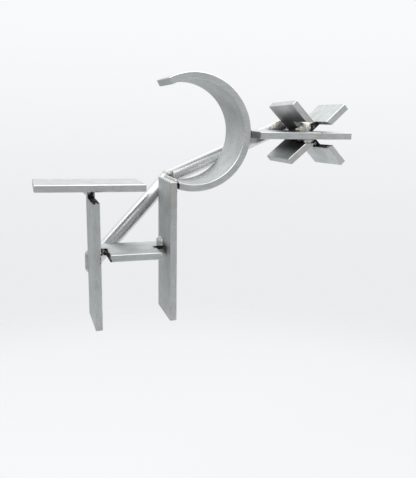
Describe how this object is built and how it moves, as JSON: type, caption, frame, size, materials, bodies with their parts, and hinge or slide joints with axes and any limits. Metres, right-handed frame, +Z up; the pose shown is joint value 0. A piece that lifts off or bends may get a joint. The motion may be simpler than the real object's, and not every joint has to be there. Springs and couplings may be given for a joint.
{
  "type": "branding iron head",
  "caption": "Welded steel stamp head: flat bars and a split ring on edge, level at the working face, joined across the back by a bent round-bar spine.",
  "frame": {"origin": "the handle seat: the rear of the spine where its two rods meet", "axes": "+X along the head towards the star, +Y away from the working face towards the handle, +Z up"},
  "size_m": [0.2906, 0.0653, 0.2245],
  "materials": {
    "flat_bar_steel": "satin, ground flat bar with a fine grain",
    "round_bar_steel": "drawn round bar, smoother and glossier than the flat bar",
    "weld_metal": "rippled weld bead, wire brushed"
  },
  "bodies": {
    "root": {"t_top_bar": "flat_bar_steel", "left_post": "flat_bar_steel", "right_post": "flat_bar_steel", "crossbar": "flat_bar_steel", "split_ring": "flat_bar_steel", "star_long_bar": "flat_bar_steel", "star_arm_upper_left": "flat_bar_steel", "star_arm_upper_right": "flat_bar_steel", "star_arm_lower_left": "flat_bar_steel", "star_arm_lower_right": "flat_bar_steel", "spine_lower_rod": "round_bar_steel", "spine_upper_rod": "round_bar_steel", "t_bar_weld_left": "weld_metal", "t_bar_weld_right": "weld_metal", "crossbar_weld_left_upper": "weld_metal", "crossbar_weld_left_lower": "weld_metal", "crossbar_weld_right_upper": "weld_metal", "crossbar_weld_right_lower": "weld_metal", "ring_foot_weld_upper": "weld_metal", "ring_foot_weld_lower": "weld_metal", "star_bar_weld_upper": "weld_metal", "star_bar_weld_lower": "weld_metal", "hub_weld_upper": "weld_metal", "hub_weld_lower": "weld_metal", "spine_elbow_weld": "weld_metal", "spine_left_post_weld": "weld_metal", "spine_right_post_weld": "weld_metal", "spine_ring_weld": "weld_metal", "spine_star_bar_weld": "weld_metal", "spine_arm_weld": "weld_metal"}
  },
  "joints": []
}
